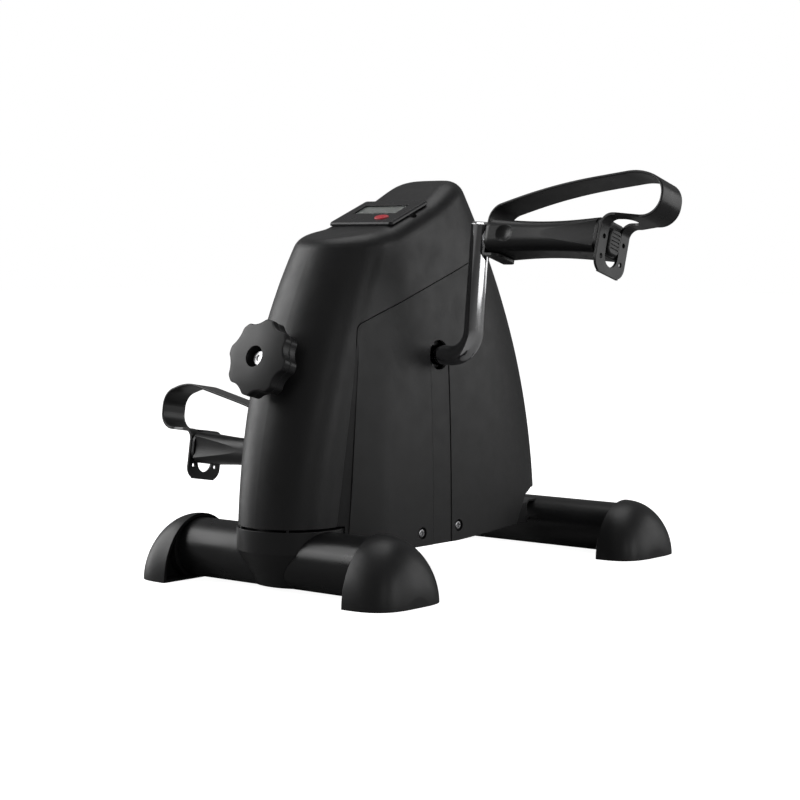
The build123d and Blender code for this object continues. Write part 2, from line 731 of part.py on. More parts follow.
# ------------------------------------------------------------ tension knob
def lobed_outline(r):
    """Wavy outline: broad shallow finger hollows between rounded lobes."""
    outline = Circle(r)
    for i in range(KNOB_LOBES):
        a = 2 * math.pi * (i + 0.5) / KNOB_LOBES + math.radians(KNOB_PHASE)
        reach = r + KNOB_GRIP_R - KNOB_HOLLOW
        outline = outline - Pos(reach * math.cos(a), reach * math.sin(a)) * Circle(KNOB_GRIP_R)
    return fillet(outline.vertices(), 5.0)


def lobed_plate(r, z0, z1, rounding):
    plate = Pos(0, 0, z0) * extrude(lobed_outline(r), amount=z1 - z0)
    rims = plate.faces().sort_by(Axis.Z)[-1].edges() + plate.faces().sort_by(Axis.Z)[0].edges()
    return fillet(rims, rounding)


def knob():
    fall = KNOB_CROWN + KNOB_EDGE_DROP
    crown_r = (KNOB_R ** 2 + fall ** 2) / (2 * fall)
    blank = Pos(0, 0, -7.5) * extrude(lobed_outline(KNOB_R), amount=12)
    face_plate = blank & (Pos(0, 0, KNOB_CROWN - crown_r) * Sphere(crown_r))
    face_plate = fillet(face_plate.faces().sort_by(Axis.Z)[-1].edges(), 1.2)
    neck = Pos(0, 0, -9) * Cylinder(KNOB_R - KNOB_HOLLOW - 1.2, 6)
    grip = lobed_plate(KNOB_R - 0.6, -KNOB_DEPTH + 7, -8.3, 1.6)
    skirt = Pos(0, 0, -KNOB_DEPTH + 4) * Cone(14, 22, 8)
    body = face_plate + neck + grip + skirt
    body = body - Pos(0, 0, 8 - KNOB_WELL) * Cylinder(8.8, 16)
    body = body - Pos(0, 0, -15) * Cylinder(SCREW_R, 40)
    return SCREW_AXIS * (Pos(0, 0, KNOB_REACH) * body)


def tension_screw():
    seat = KNOB_REACH - KNOB_WELL
    head = extrude(RegularPolygon(6.6, 6), amount=5.4)
    head = head & (Pos(0, 0, 0.5) * Sphere(7.4))
    socket = Pos(0, 0, 4.4) * extrude(RegularPolygon(2.9, 6), amount=4)
    washer = Pos(0, 0, 0.6) * Cylinder(8.2, 1.2)
    top = SCREW_AXIS * (Pos(0, 0, seat) * ((head + washer) - socket))
    return top + along_screw(SCREW_R, NUT_START + 2, seat + 1)


def screw_collar():
    t1 = KNOB_BACK - BOSS_DEPTH - 0.4
    ring = along_screw(8.0, t1 - 3.6, t1) - along_screw(SCREW_R, t1 - 5, t1 + 1)
    return ring


# ------------------------------------------------------------ display


def display_housing():
    bezel = CONSOLE * (Pos(0, 0, BEZEL_RAISE / 2 + 0.1) * Box(BEZEL_X, BEZEL_Y, BEZEL_RAISE - 0.2))
    bezel = fillet(bezel.edges().filter_by(lambda e: e.length < 4), 3.0)
    top = bezel.faces().sort_by(CONSOLE_NORMAL)[-1]
    bezel = chamfer(top.edges(), 1.2)
    box = console_block(-31, 31, -23, 23, -MODULE_DEPTH, 1)
    cavity = console_block(-29, 29, -21, 21, -MODULE_DEPTH - 1, 1.6)
    body = bezel + box - cavity
    x0, x1, y0, y1 = WINDOW
    body = body - console_block(x0, x1, y0, y1, -5, 10)
    body = body - console_block(x0 - 1.5, x1 + 1.5, y0 - 1.5, y1 + 1.5, -5, BEZEL_RAISE - 0.9)
    button_room = extrude(Ellipse(BUTTON_RX + 0.3, BUTTON_RY + 0.3), amount=12, both=True)
    hole = CONSOLE * (Pos(BUTTON_AT[0], BUTTON_AT[1], 0) * button_room)
    return body - hole


CONSOLE_NORMAL = Axis((0, CONSOLE_Y, CONSOLE_Z), CONSOLE.z_dir)


def display_lens():
    x0, x1, y0, y1 = WINDOW
    return console_block(x0 - 1.2, x1 + 1.2, y0 - 1.2, y1 + 1.2, 0.8, BEZEL_RAISE - 1.0)


def lcd_panel():
    x0, x1, y0, y1 = WINDOW
    return console_block(x0 - 1, x1 + 1, y0 - 1, y1 + 1, -1.6, 0.6)


def display_board():
    return console_block(-28.5, 28.5, -20.5, 20.5, -5.4, -3.8)


def reset_button():
    cap = extrude(Ellipse(BUTTON_RX, BUTTON_RY), amount=5.6)
    cap = Pos(0, 0, -1.6) * cap
    cap = fillet(cap.edges().sort_by(Axis.Z)[-1], 1.2)
    flange = Pos(0, 0, -1.6) * extrude(Ellipse(BUTTON_RX + 1.6, BUTTON_RY + 1.6), amount=1.2)
    button = cap + flange
    return CONSOLE * (Pos(BUTTON_AT[0], BUTTON_AT[1], 0) * button)


def display_battery():
    return CONSOLE * (Pos(0, 0, -8.6) * Rot(0, 90, 0) * Cylinder(3.0, 20))


def battery_door():
    return console_block(-28.7, 28.7, -20.7, 20.7, -MODULE_DEPTH + 0.2, -MODULE_DEPTH + 1.8)


# ------------------------------------------------------------ pedals, in the right pedal's own frame
def pedal_section(x, depth, height, radius):
    plane = Plane(origin=(x, 0, 0), x_dir=(0, 1, 0), z_dir=(1, 0, 0))
    return plane * RectangleRounded(depth, height, radius)


def pedal_body():
    sections = []
    for u in (0.0, 0.2, 0.5, 0.8, 1.0):
        waist = math.sin(math.pi * u)
        depth = PEDAL_DEPTH * (1 - 0.10 * waist)
        height = PEDAL_HEIGHT * (1 - 0.16 * waist)
        sections.append(pedal_section(u * PEDAL_LENGTH, depth, height, 10.0))
    body = loft(sections)
    inner_end = body.faces().sort_by(Axis.X)[0]
    body = fillet(inner_end.edges(), 6.0)
    body = body - rod_x(SPINDLE_R + RUNNING_FIT, -2, PEDAL_LENGTH - 6)
    for side in (1, -1):
        body = body - Pos(22, side * (PEDAL_DEPTH / 2 + 9.0), 0) * Sphere(13.0)
        scoop = Rot(0, 0, side * -1.6) * rod_x(30.0, -80, 80)
        body = body - Pos(PEDAL_LENGTH - 10, side * (PEDAL_DEPTH / 2 + 26.6), 0) * scoop
    for row in (-9, 0, 9):
        flute = Rot(0, 90, 0) * Cylinder(1.6, PEDAL_LENGTH - 34)
        rib = Pos(PEDAL_LENGTH / 2, row, PEDAL_HEIGHT / 2 + 0.2) * flute
        body = body - rib
        body = body - mirror(rib, about=Plane.XY)
    return body


def pedal_end_cap():
    plate = extrude(pedal_section(PEDAL_LENGTH, 40, 29, 10), amount=3.8, dir=(1, 0, 0))
    plate = fillet(plate.faces().sort_by(Axis.X)[-1].edges(), 1.0)
    half = EYE_SLOT_R - NOSE_CLEARANCE
    nose = block(PEDAL_LENGTH + 3, EYE_X + 2.6, -half, half, -13.0, 8.5)
    nose = fillet(nose.edges().filter_by(Axis.X), 5.5)
    nose = fillet(nose.faces().sort_by(Axis.X)[-1].edges(), 1.6)
    for z in (-8, -5, -2, 1, 4):
        nose = nose - block(EYE_X + 2.0, EYE_X + 4, -half + 2.5, half - 2.5, z - 0.5, z + 0.5)
    return plate + nose


def pedal_spindle():
    root = SPINDLE_EYE - PEDAL_INNER_X
    pin = rod_x(PIN_R, root - PIN_SEAT, 0)
    main = rod_x(SPINDLE_R, -4, PEDAL_LENGTH - 8)
    collar = Pos(-7.6, 0, 0) * extrude(Plane.YZ * RegularPolygon(9.2, 6), amount=4.2, dir=(1, 0, 0))
    return pin + main + collar


def strap_sweep(path, width):
    return Rot(90, 0, 0) * extrude(trace(path, STRAP_T), amount=width / 2, both=True)


def flap_corner(side):
    """Waste outside one rounded corner of the flap under the pedal."""
    under = -PEDAL_HEIGHT / 2 - 1.5
    y = side * (STRAP_WIDTH / 2 - FLAP_ROUND)
    x = FLAP_X - FLAP_ROUND
    square = block(x, FLAP_X + 1, min(y, 2 * y), max(y, 2 * y), under - 3, under + 3)
    return square - Pos(x, y, under) * Cylinder(FLAP_ROUND, 8)


def pedal_strap(loop):
    """loop: corners of the strap from the inner end over the foot and back to the eye."""
    inner = loop[0][0]
    under = -PEDAL_HEIGHT / 2 - 1.5
    tail_z = loop[-1][1]
    corners = [(FLAP_X, under), (inner, under), *loop, (EYE_X, tail_z), (EYE_X, -EYE_DROP)]
    path = FilletPolyline(*corners, radius=[2.0, *LOOP_RADII, 9.0])
    band = strap_sweep(path, STRAP_WIDTH) - flap_corner(1) - flap_corner(-1)
    tail = FilletPolyline((EYE_X + 32, tail_z), (EYE_X, tail_z), (EYE_X, -EYE_DROP), radius=9.0)
    eye = strap_sweep(tail, EYE_WIDTH)
    half = EYE_WIDTH / 2
    plan = Polyline(
        (EYE_X - 5, -half),
        (EYE_X + 12, -half),
        (EYE_X + 30, -STRAP_WIDTH / 2),
        (EYE_X + 30, STRAP_WIDTH / 2),
        (EYE_X + 12, half),
        (EYE_X - 5, half),
        close=True,
    )
    eye = eye & extrude(make_face(plan), amount=60, both=True)
    low_edges = eye.edges().filter_by(lambda e: e.center().Z < -EYE_DROP + 0.1)
    corners = low_edges.filter_by(lambda e: abs(e.center().Y) > half - 0.1)
    eye = fillet(corners, 11.0)
    strap = band + eye
    low = -EYE_DROP + EYE_SLOT_R + 7.0
    slot = rod_x(EYE_SLOT_R, EYE_X - 5, EYE_X + 5, 0, low)
    slot = slot + block(EYE_X - 5, EYE_X + 12, -EYE_SLOT_R, EYE_SLOT_R, low, tail_z + 5)
    slot = slot + Pos(EYE_X + 12, 0, tail_z) * Cylinder(EYE_SLOT_R, 10)
    strap = strap - slot
    for z in (-1.0, -1.0 - EYE_PITCH):
        for y in (-14.0, 14.0):
            strap = strap - rod_x(2.0, EYE_X - 5, EYE_X + 8, y, z)
    return strap - rod_x(10.4, -6, 2)


def place_pedal(shape, right):
    if right:
        return Pos(PEDAL_INNER_X, CRANK_Y, CRANK_Z + CRANK_RADIUS) * Rot(-RIGHT_TILT, 0, 0) * shape
    return Pos(-PEDAL_INNER_X, CRANK_Y, CRANK_Z - CRANK_RADIUS) * Rot(-LEFT_TILT, 0, 0) * mirrored(shape)


# ------------------------------------------------------------ write the parts
save(floor_tube(FRONT_TUBE_R, FRONT_Y0, FRONT_TUBE_Z), "front_tube")
save(floor_tube(REAR_TUBE_R, REAR_Y0, REAR_TUBE_Z), "rear_tube")
front_cap = foot_cap(FRONT_CAP_LENGTH, FRONT_CAP_HEIGHT, FRONT_TUBE_R, FRONT_TUBE_Z, FRONT_Y0)
rear_cap = foot_cap(REAR_CAP_LENGTH, REAR_CAP_HEIGHT, REAR_TUBE_R, REAR_TUBE_Z, REAR_Y0)
save(front_cap, "front_cap_right")
save(mirrored(front_cap), "front_cap_left")
save(rear_cap, "rear_cap_right")
save(mirrored(rear_cap), "rear_cap_left")
save(front_saddle(), "front_saddle")
save(frame_rail(), "frame_rail")
save(frame_upright(), "upright_right")
save(mirrored(frame_upright()), "upright_left")
save(Compound(children=[bearing_housing(), mirrored(bearing_housing())]), "bearing_housings")
save(Compound(children=[crank_bushing(), mirrored(crank_bushing())]), "crank_bushings")
save(Compound(children=[cover_bracket(), mirrored(cover_bracket())]), "cover_brackets")
save(front_post(), "front_post")
save(top_cover(), "top_cover")
side = side_cover_right()
save(side, "side_cover_right")
save(mirrored(side), "side_cover_left")
save(slot_cover_right(), "slot_cover_right")
save(mirrored(slot_cover_right()), "slot_cover_left")
save(cover_screws(), "cover_screws")
save(crank(), "crank")
save(crank_collars(), "crank_collars")
save(drum(), "drum")
save(sensor_magnet(), "sensor_magnet")
save(reed_sensor(), "reed_sensor")
save(brake_band(), "brake_band")
save(band_anchor(), "band_anchor")
save(band_hook(), "band_hook")
save(tension_spring(), "tension_spring")
save(tension_nut(), "tension_nut")
save(knob(), "knob")
save(tension_screw(), "tension_screw")
save(screw_collar(), "screw_collar")
save(display_housing(), "display_housing")
save(display_lens(), "display_lens")
save(lcd_panel(), "lcd_panel")
save(display_board(), "display_board")
save(reset_button(), "reset_button")
save(display_battery(), "display_battery")
save(battery_door(), "battery_door")
pedal = pedal_body()
cap = pedal_end_cap()
spindle = pedal_spindle()
right_strap = pedal_strap(RIGHT_LOOP)
left_strap = pedal_strap(LEFT_LOOP)
for right, side_name, strap in ((True, "right", right_strap), (False, "left", left_strap)):
    save(place_pedal(pedal, right), side_name + "_pedal")
    save(place_pedal(cap, right), side_name + "_pedal_cap")
    save(place_pedal(spindle, right), side_name + "_spindle")
    save(place_pedal(strap, right), side_name + "_strap")
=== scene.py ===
import json
import math

import bmesh
import bpy
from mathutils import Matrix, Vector


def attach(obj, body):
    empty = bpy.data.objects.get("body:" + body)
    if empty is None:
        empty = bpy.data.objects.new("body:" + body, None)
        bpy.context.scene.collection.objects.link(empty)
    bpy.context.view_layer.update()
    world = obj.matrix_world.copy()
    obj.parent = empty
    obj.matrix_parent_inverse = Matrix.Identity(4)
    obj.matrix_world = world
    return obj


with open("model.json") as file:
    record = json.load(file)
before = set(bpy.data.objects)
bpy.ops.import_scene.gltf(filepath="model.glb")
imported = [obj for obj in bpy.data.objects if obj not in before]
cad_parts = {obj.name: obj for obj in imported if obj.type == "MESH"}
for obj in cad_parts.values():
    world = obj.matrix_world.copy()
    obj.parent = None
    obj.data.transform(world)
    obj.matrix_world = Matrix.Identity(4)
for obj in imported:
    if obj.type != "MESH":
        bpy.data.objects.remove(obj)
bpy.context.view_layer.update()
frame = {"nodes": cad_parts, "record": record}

nodes = frame["nodes"]
scene = bpy.context.scene


# ---------------------------------------------------------------- camera
def make_camera():
    azimuth, pitch = math.radians(40.15), math.radians(4.218)
    level = Vector((-math.sin(azimuth), math.cos(azimuth), 0.0)) * math.cos(pitch)
    look = level + Vector((0.0, 0.0, -math.sin(pitch)))
    data = bpy.data.cameras.new("camera")
    data.sensor_width = 36.0
    data.lens = 94.5
    data.clip_start, data.clip_end = 0.05, 60.0
    cam = bpy.data.objects.new("camera", data)
    cam.location = (1.1742, -1.4193, 0.2822)
    cam.rotation_euler = look.to_track_quat("-Z", "Y").to_euler()
    scene.collection.objects.link(cam)
    scene.camera = cam


make_camera()


# ---------------------------------------------------------------- node helpers
class Graph:
    def __init__(self, tree):
        self.tree = tree
        self.nodes = tree.nodes
        self.links = tree.links

    def add(self, kind, **values):
        node = self.nodes.new(kind)
        for key, value in values.items():
            if hasattr(node, key):
                setattr(node, key, value)
            else:
                node.inputs[key.replace("_", " ")].default_value = value
        return node

    def join(self, a, b):
        self.links.new(a, b)

    def math(self, op, a, b=None):
        node = self.nodes.new("ShaderNodeMath")
        node.operation = op
        for i, v in enumerate((a, b)):
            if v is None:
                continue
            if isinstance(v, (int, float)):
                node.inputs[i].default_value = v
            else:
                self.join(v, node.inputs[i])
        return node.outputs[0]

    def remap(self, value, a, b, c, d):
        node = self.nodes.new("ShaderNodeMapRange")
        node.inputs[1].default_value, node.inputs[2].default_value = a, b
        node.inputs[3].default_value, node.inputs[4].default_value = c, d
        self.join(value, node.inputs[0])
        return node.outputs[0]

    def ramp(self, value, stops):
        node = self.nodes.new("ShaderNodeValToRGB")
        node.color_ramp.elements[0].position = stops[0][0]
        node.color_ramp.elements[0].color = (*stops[0][1], 1)
        node.color_ramp.elements[1].position = stops[-1][0]
        node.color_ramp.elements[1].color = (*stops[-1][1], 1)
        for p, c in stops[1:-1]:
            e = node.color_ramp.elements.new(p)
            e.color = (*c, 1)
        self.join(value, node.inputs[0])
        return node.outputs[0]

    def noise(self, coord, scale, detail=2.0, rough=0.5):
        node = self.add("ShaderNodeTexNoise", Scale=scale, Detail=detail, Roughness=rough)
        self.join(coord, node.inputs["Vector"])
        return node.outputs["Fac"]


def new_material(name):
    mat = bpy.data.materials.new(name)
    mat.use_nodes = True
    g = Graph(mat.node_tree)
    bsdf = g.nodes["Principled BSDF"]
    coord = g.add("ShaderNodeTexCoord").outputs["Object"]
    return mat, g, bsdf, coord


def shade(c, k):
    return tuple(min(1.0, v * k) for v in c)


def edge_mask(g, radius):
    """1 on rounded-over edges, 0 on faces."""
    bevel = g.add("ShaderNodeBevel", samples=4)
    bevel.inputs["Radius"].default_value = radius
    geo = g.add("ShaderNodeNewGeometry")
    dot = g.add("ShaderNodeVectorMath", operation="DOT_PRODUCT")
    g.join(bevel.outputs[0], dot.inputs[0])
    g.join(geo.outputs["Normal"], dot.inputs[1])
    return g.remap(dot.outputs["Value"], 0.999, 0.88, 0.0, 1.0), bevel.outputs[0]


MOULDED_EDGE = 0.0006      # rounding that the lightened edges (rub wear and painted highlight) follow, metres


def moulded(name, color, rough=0.45, grain=2300.0, depth=0.00006, mottle=0.12, wear_and_highlight=0.35):
    """Injection-moulded plastic: spark texture, faint flow mottling, edges lightened partly as rub wear and
    partly as a painted highlight.
    """
    mat, g, bsdf, coord = new_material(name)
    fine = g.noise(coord, grain, 3.0, 0.6)
    broad = g.noise(coord, 14.0, 3.0, 0.55)
    hand = g.noise(coord, 60.0, 4.0, 0.6)
    mask, normal = edge_mask(g, MOULDED_EDGE)
    tone = g.math("ADD", g.math("MULTIPLY", broad, 0.7), g.math("MULTIPLY", fine, 0.3))
    body = g.ramp(tone, [(0.3, shade(color, 1 - mottle)), (0.7, shade(color, 1 + mottle))])
    # Edges mixed toward a lighter colour: partly rub wear, partly a painted highlight.
    mix = g.add("ShaderNodeMix", data_type="RGBA")
    g.join(g.math("MULTIPLY", mask, wear_and_highlight), mix.inputs["Factor"])
    g.join(body, mix.inputs["A"])
    mix.inputs["B"].default_value = (*shade(color, 2.6), 1)
    g.join(mix.outputs["Result"], bsdf.inputs["Base Color"])
    r = g.remap(hand, 0.3, 0.7, rough - 0.05, rough + 0.05)
    r = g.math("SUBTRACT", r, g.math("MULTIPLY", mask, 0.08))
    g.join(r, bsdf.inputs["Roughness"])
    bump = g.add("ShaderNodeBump", Strength=0.6, Distance=depth)
    g.join(fine, bump.inputs["Height"])
    g.join(normal, bump.inputs["Normal"])
    g.join(bump.outputs[0], bsdf.inputs["Normal"])
    return mat


def painted(name, color, rough=0.34):
    """Powder coat: orange-peel bump with a little roughness drift."""
    mat, g, bsdf, coord = new_material(name)
    peel = g.noise(coord, 700.0, 2.0, 0.5)
    broad = g.noise(coord, 22.0, 3.0, 0.5)
    mask, normal = edge_mask(g, 0.0005)
    body = g.ramp(broad, [(0.3, shade(color, 0.85)), (0.7, shade(color, 1.15))])
    # Edges mixed toward a lighter colour: partly rub wear, partly a painted highlight.
    mix = g.add("ShaderNodeMix", data_type="RGBA")
    g.join(g.math("MULTIPLY", mask, 0.3), mix.inputs["Factor"])
    g.join(body, mix.inputs["A"])
    mix.inputs["B"].default_value = (*shade(color, 2.4), 1)
    g.join(mix.outputs["Result"], bsdf.inputs["Base Color"])
    g.join(g.remap(broad, 0.3, 0.7, rough - 0.05, rough + 0.06), bsdf.inputs["Roughness"])
    bump = g.add("ShaderNodeBump", Strength=0.5, Distance=0.00005)
    g.join(peel, bump.inputs["Height"])
    g.join(normal, bump.inputs["Normal"])
    g.join(bump.outputs[0], bsdf.inputs["Normal"])
    return mat


def metal(name, color, rough, streak_axis=0, streak=900.0, amount=0.06, dirt=0.0, edge=0.0004):
    """Plated or brushed metal with fine directional marks."""
    mat, g, bsdf, coord = new_material(name)
    mapping = g.add("ShaderNodeMapping")
    scale = [streak, streak, streak]
    scale[streak_axis] = streak * 0.03
    mapping.inputs["Scale"].default_value = scale
    g.join(coord, mapping.inputs["Vector"])
    lines = g.noise(mapping.outputs[0], 1.0, 2.0, 0.5)
    broad = g.noise(coord, 45.0, 4.0, 0.6)
    mask, normal = edge_mask(g, edge)
    g.join(g.ramp(broad, [(0.25, shade(color, 0.86 - dirt)), (0.75, color)]), bsdf.inputs["Base Color"])
    bsdf.inputs["Metallic"].default_value = 1.0
    r = g.math("ADD", g.remap(lines, 0.3, 0.7, rough, rough + amount), g.remap(broad, 0.4, 0.8, 0.0, 0.04))
    g.join(r, bsdf.inputs["Roughness"])
    bump = g.add("ShaderNodeBump", Strength=0.25, Distance=0.00003)
    g.join(lines, bump.inputs["Height"])
    g.join(normal, bump.inputs["Normal"])
    g.join(bump.outputs[0], bsdf.inputs["Normal"])
    return mat


def rubbery(name, color, rough=0.42):
    """Flexible vinyl: smooth skin, faint flow lines, slight bloom, soft sheen."""
    mat, g, bsdf, coord = new_material(name)
    fine = g.noise(coord, 1500.0, 2.0, 0.5)
    bloom = g.noise(coord, 38.0, 5.0, 0.62)
    mask, normal = edge_mask(g, 0.0005)
    tone = g.math("ADD", g.math("MULTIPLY", bloom, 0.8), g.math("MULTIPLY", fine, 0.2))
    skin = g.ramp(tone, [(0.32, shade(color, 0.8)), (0.6, color), (0.8, shade(color, 1.5))])
    g.join(skin, bsdf.inputs["Base Color"])
    g.join(g.remap(bloom, 0.3, 0.75, rough - 0.07, rough + 0.09), bsdf.inputs["Roughness"])
    bump = g.add("ShaderNodeBump", Strength=0.4, Distance=0.00005)
    g.join(fine, bump.inputs["Height"])
    g.join(normal, bump.inputs["Normal"])
    g.join(bump.outputs[0], bsdf.inputs["Normal"])
    bsdf.inputs["Sheen Weight"].default_value = 0.06
    bsdf.inputs["Sheen Roughness"].default_value = 0.4
    return mat


def woven(name, color):
    """Woven friction band."""
    mat, g, bsdf, coord = new_material(name)
    warp = g.add("ShaderNodeTexWave", Scale=520.0, Distortion=1.2, Detail=2.0, bands_direction="X")
    weft = g.add("ShaderNodeTexWave", Scale=520.0, Distortion=1.2, Detail=2.0, bands_direction="DIAGONAL")
    g.join(coord, warp.inputs["Vector"])
    g.join(coord, weft.inputs["Vector"])
    cross = g.math("MULTIPLY", warp.outputs["Fac"], weft.outputs["Fac"])
    g.join(g.ramp(cross, [(0.1, shade(color, 0.55)), (0.8, shade(color, 1.3))]), bsdf.inputs["Base Color"])
    bsdf.inputs["Roughness"].default_value = 0.9
    bump = g.add("ShaderNodeBump", Strength=0.7, Distance=0.0003)
    g.join(cross, bump.inputs["Height"])
    g.join(bump.outputs[0], bsdf.inputs["Normal"])
    return mat


def lcd(name, color):
    """Unlit liquid-crystal glass: grey-green with a faint cell pattern."""
    mat, g, bsdf, coord = new_material(name)
    broad = g.noise(coord, 30.0, 2.0, 0.5)
    cells = g.add("ShaderNodeTexVoronoi", Scale=2600.0)
    g.join(coord, cells.inputs["Vector"])
    tone = g.math("ADD", g.math("MULTIPLY", broad, 0.8), g.math("MULTIPLY", cells.outputs["Distance"], 0.25))
    g.join(g.ramp(tone, [(0.3, shade(color, 0.88)), (0.8, shade(color, 1.12))]), bsdf.inputs["Base Color"])
    bsdf.inputs["Roughness"].default_value = 0.28
    return mat


def clear(name):
    """Clear acrylic window with hairline wipe marks."""
    mat, g, bsdf, coord = new_material(name)
    marks = g.noise(coord, 420.0, 5.0, 0.7)
    g.join(g.remap(marks, 0.45, 0.75, 0.03, 0.10), bsdf.inputs["Roughness"])
    g.join(g.ramp(marks, [(0.3, (0.94, 0.95, 0.95)), (0.8, (0.98, 0.99, 0.99))]), bsdf.inputs["Base Color"])
    bsdf.inputs["IOR"].default_value = 1.49
    bsdf.inputs["Transmission Weight"].default_value = 1.0
    return mat


def board(name, color):
    """Circuit board: solder mask over copper tracks."""
    mat, g, bsdf, coord = new_material(name)
    brick = g.add("ShaderNodeTexBrick", Scale=180.0)
    brick.inputs["Color1"].default_value = (*shade(color, 0.8), 1)
    brick.inputs["Color2"].default_value = (*shade(color, 1.3), 1)
    brick.inputs["Mortar"].default_value = (0.25, 0.16, 0.05, 1)
    g.join(coord, brick.inputs["Vector"])
    g.join(brick.outputs["Color"], bsdf.inputs["Base Color"])
    bsdf.inputs["Roughness"].default_value = 0.3
    return mat


BLACK = (0.0135, 0.0135, 0.0142)
MATERIALS = {
    "tube_paint": painted("tube_paint", (0.0125, 0.0125, 0.0132), 0.30),
    "cap_plastic": moulded("cap_plastic", (0.014, 0.014, 0.0148), rough=0.40, grain=2400),
    "saddle_plastic": moulded("saddle_plastic", BLACK, rough=0.36),
    "frame_paint": painted("frame_paint", (0.02, 0.02, 0.021), 0.4),
    "bushing_nylon": moulded("bushing_nylon", (0.66, 0.64, 0.57), rough=0.4, mottle=0.05, wear_and_highlight=0.0),
    "shell_plastic": moulded("shell_plastic", BLACK, rough=0.42, grain=2100),
    "side_plastic": moulded("side_plastic", BLACK, rough=0.44, grain=2100),
    "slot_plastic": moulded("slot_plastic", (0.015, 0.015, 0.0158), rough=0.46),
    "screw_steel": metal("screw_steel", (0.46, 0.46, 0.47), 0.26),
    "crank_chrome": metal("crank_chrome", (0.82, 0.82, 0.83), 0.05, streak_axis=2, amount=0.02, edge=0.0008),
    "drum_iron": metal("drum_iron", (0.17, 0.17, 0.175), 0.42, streak_axis=0, amount=0.12, dirt=0.2),
    "magnet_nickel": metal("magnet_nickel", (0.62, 0.60, 0.56), 0.2),
    "sensor_plastic": moulded("sensor_plastic", (0.02, 0.02, 0.02), rough=0.5),
    "band_felt": woven("band_felt", (0.10, 0.085, 0.07)),
    "spring_steel": metal("spring_steel", (0.50, 0.50, 0.50), 0.22),
    "knob_plastic": moulded("knob_plastic", (0.013, 0.013, 0.0136), rough=0.38, grain=2600, depth=0.00004),
    "bolt_zinc": metal("bolt_zinc", (0.90, 0.90, 0.91), 0.3),
    "bezel_plastic": moulded("bezel_plastic", (0.022, 0.022, 0.024), rough=0.26, grain=2600, depth=0.00003),
    "lens_clear": clear("lens_clear"),
    "lcd_grey": lcd("lcd_grey", (0.66, 0.69, 0.66)),
    "board_green": board("board_green", (0.02, 0.12, 0.05)),
    "button_red": moulded("button_red", (0.72, 0.05, 0.07), rough=0.3, grain=2600, depth=0.00002, wear_and_highlight=0.1),
    "battery_metal": metal("battery_metal", (0.62, 0.60, 0.52), 0.3),
    "pedal_plastic": moulded("pedal_plastic", (0.014, 0.014, 0.0148), rough=0.36, grain=2400, depth=0.00005),
    "strap_rubber": rubbery("strap_rubber", (0.016, 0.016, 0.0166), 0.33),
}

for entry in frame["record"]["subparts"]:
    obj = nodes[entry["node"]]
    mat = MATERIALS[entry["material_slot"]]
    if not obj.material_slots:
        obj.data.materials.append(mat)
    for slot in obj.material_slots:
        slot.material = mat


# ---------------------------------------------------------------- strap edge beads
# The straps' centre lines, in each pedal's own frame in metres. The corners are those of the CAD straps.
# The radii are theirs too, but for the last, which is 1 mm tighter than the CAD's 15.5 mm.
STRAP_T = 0.0022
STRAP_WIDTH = 0.028
BEAD_RADIUS = STRAP_T / 2 + 0.00002
BEAD_INSET = 0.0002
BEAD_SIDES = 12
BEAD_FLATTEN = 0.55        # width of the bead over its height
HEEL_X = -0.0015           # strap beside the pedal's inner end
HEEL_Z = 0.004
TAIL_X = 0.148             # where the strap widens into its eye
PEDAL_X = 0.1145
PEDAL_Y = -0.0382
LOOP_RADII = (0.014, 0.48, 0.048, 0.0165, 0.0145)
RIGHT_Z = 0.2864
RIGHT_LEAN = 16.5          # degrees
RIGHT_HEEL = 0.0232
RIGHT_LOOP = ((0.058, 0.0418), (0.140, 0.053), (0.163, 0.0435), (0.163, 0.0152))
LEFT_Z = 0.0924
LEFT_LEAN = 9.0
LEFT_HEEL = 0.0255
LEFT_LOOP = ((0.050, 0.0412), (0.134, 0.0596), (0.163, 0.0485), (0.163, 0.016))


def rounded_path(corners, radii, steps=14):
    """Centre line of the strap: straight runs with rounded corners."""
    line = [Vector(corners[0])]
    for before, at, after, radius in zip(corners, corners[1:], corners[2:], radii):
        a, b, c = Vector(before), Vector(at), Vector(after)
        u, w = (a - b).normalized(), (c - b).normalized()
        half = u.angle(w) / 2
        middle = b + (u + w).normalized() * radius / math.sin(half)
        start, end = b + u * radius / math.tan(half), b + w * radius / math.tan(half)
        s0, s1 = start - middle, end - middle
        turn = s0.angle(s1)
        for k in range(steps + 1):
            t = k / steps
            arm = (s0 * math.sin((1 - t) * turn) + s1 * math.sin(t * turn)) / math.sin(turn)
            line.append(middle + arm)
    line.append(Vector(corners[-1]))
    return line


def bead(name, line, y, place, body):
    """Rounded rim moulded along one edge of a strap."""
    bm = bmesh.new()
    rings = []
    for i, point in enumerate(line):
        ahead = (line[min(i + 1, len(line) - 1)] - line[max(i - 1, 0)]).normalized()
        side = Vector((-ahead.y, ahead.x))
        ring = []
        for k in range(BEAD_SIDES):
            a = math.tau * k / BEAD_SIDES
            at = point + side * (BEAD_RADIUS * math.sin(a))
            across = y + BEAD_FLATTEN * BEAD_RADIUS * math.cos(a)
            ring.append(bm.verts.new(place(at.x, across, at.y)))
        rings.append(ring)
    for r0, r1 in zip(rings, rings[1:]):
        for k in range(BEAD_SIDES):
            n = (k + 1) % BEAD_SIDES
            bm.faces.new((r0[k], r0[n], r1[n], r1[k])).smooth = True
    bm.faces.new(rings[0])
    bm.faces.new(rings[-1])
    bmesh.ops.recalc_face_normals(bm, faces=bm.faces)
    me = bpy.data.meshes.new(name)
    bm.to_mesh(me)
    bm.free()
    me.materials.append(MATERIALS["strap_rubber"])
    obj = bpy.data.objects.new(name, me)
    scene.collection.objects.link(obj)
    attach(obj, body)


def pedal_place(side, z0, lean):
    """Pedal frame into the row frame. side is 1 on the right and -1 on the left; lean is in degrees."""
    c = math.cos(math.radians(lean))
    s = math.sin(math.radians(lean))
    return lambda x, y, z: Vector((side * (PEDAL_X + x), PEDAL_Y + y * c + z * s, z0 - y * s + z * c))


